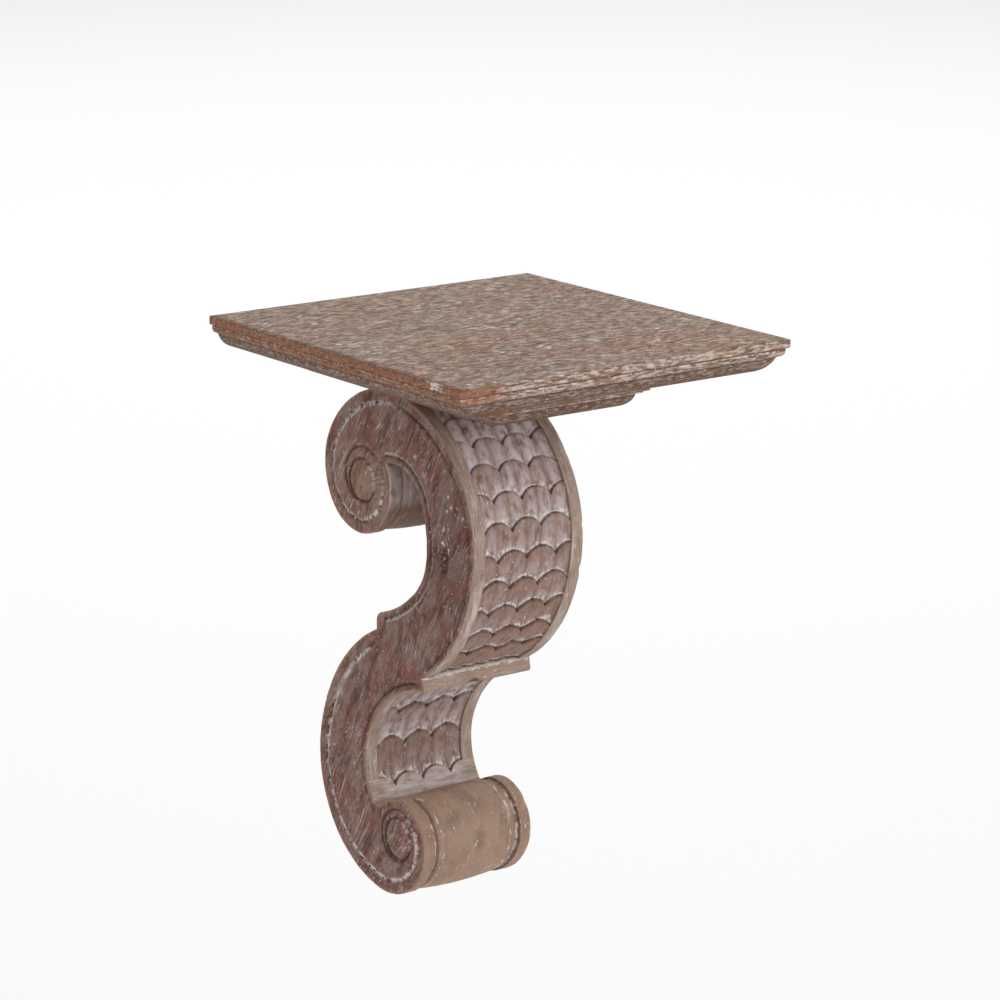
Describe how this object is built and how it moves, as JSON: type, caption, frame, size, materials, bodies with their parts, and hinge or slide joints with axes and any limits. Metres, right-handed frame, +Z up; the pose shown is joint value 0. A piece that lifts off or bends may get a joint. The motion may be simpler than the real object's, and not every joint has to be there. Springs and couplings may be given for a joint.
{
  "type": "carved scroll wall bracket shelf",
  "caption": "Carved wooden wall bracket: a moulded shelf board on a moulded block, carried by an S-shaped scroll with a scaled front and a roll at the foot.",
  "frame": {"origin": "on the wall plane, at the middle of the bearer block's flat back", "axes": "+Z up, -Y out of the wall to the front, +X along the shelf to the right as seen from the front"},
  "size_m": [0.3, 0.31, 0.449],
  "materials": {
    "board_wood": "limed open-grain hardwood, matt",
    "block_wood": "limed open-grain hardwood, matt",
    "scroll_wood": "carved hardwood, brown stain under rubbed white lime wash, matt"
  },
  "bodies": {
    "root": {"shelf_board": "board_wood", "bearer_block": "block_wood", "scroll_bracket": "scroll_wood"}
  },
  "joints": []
}
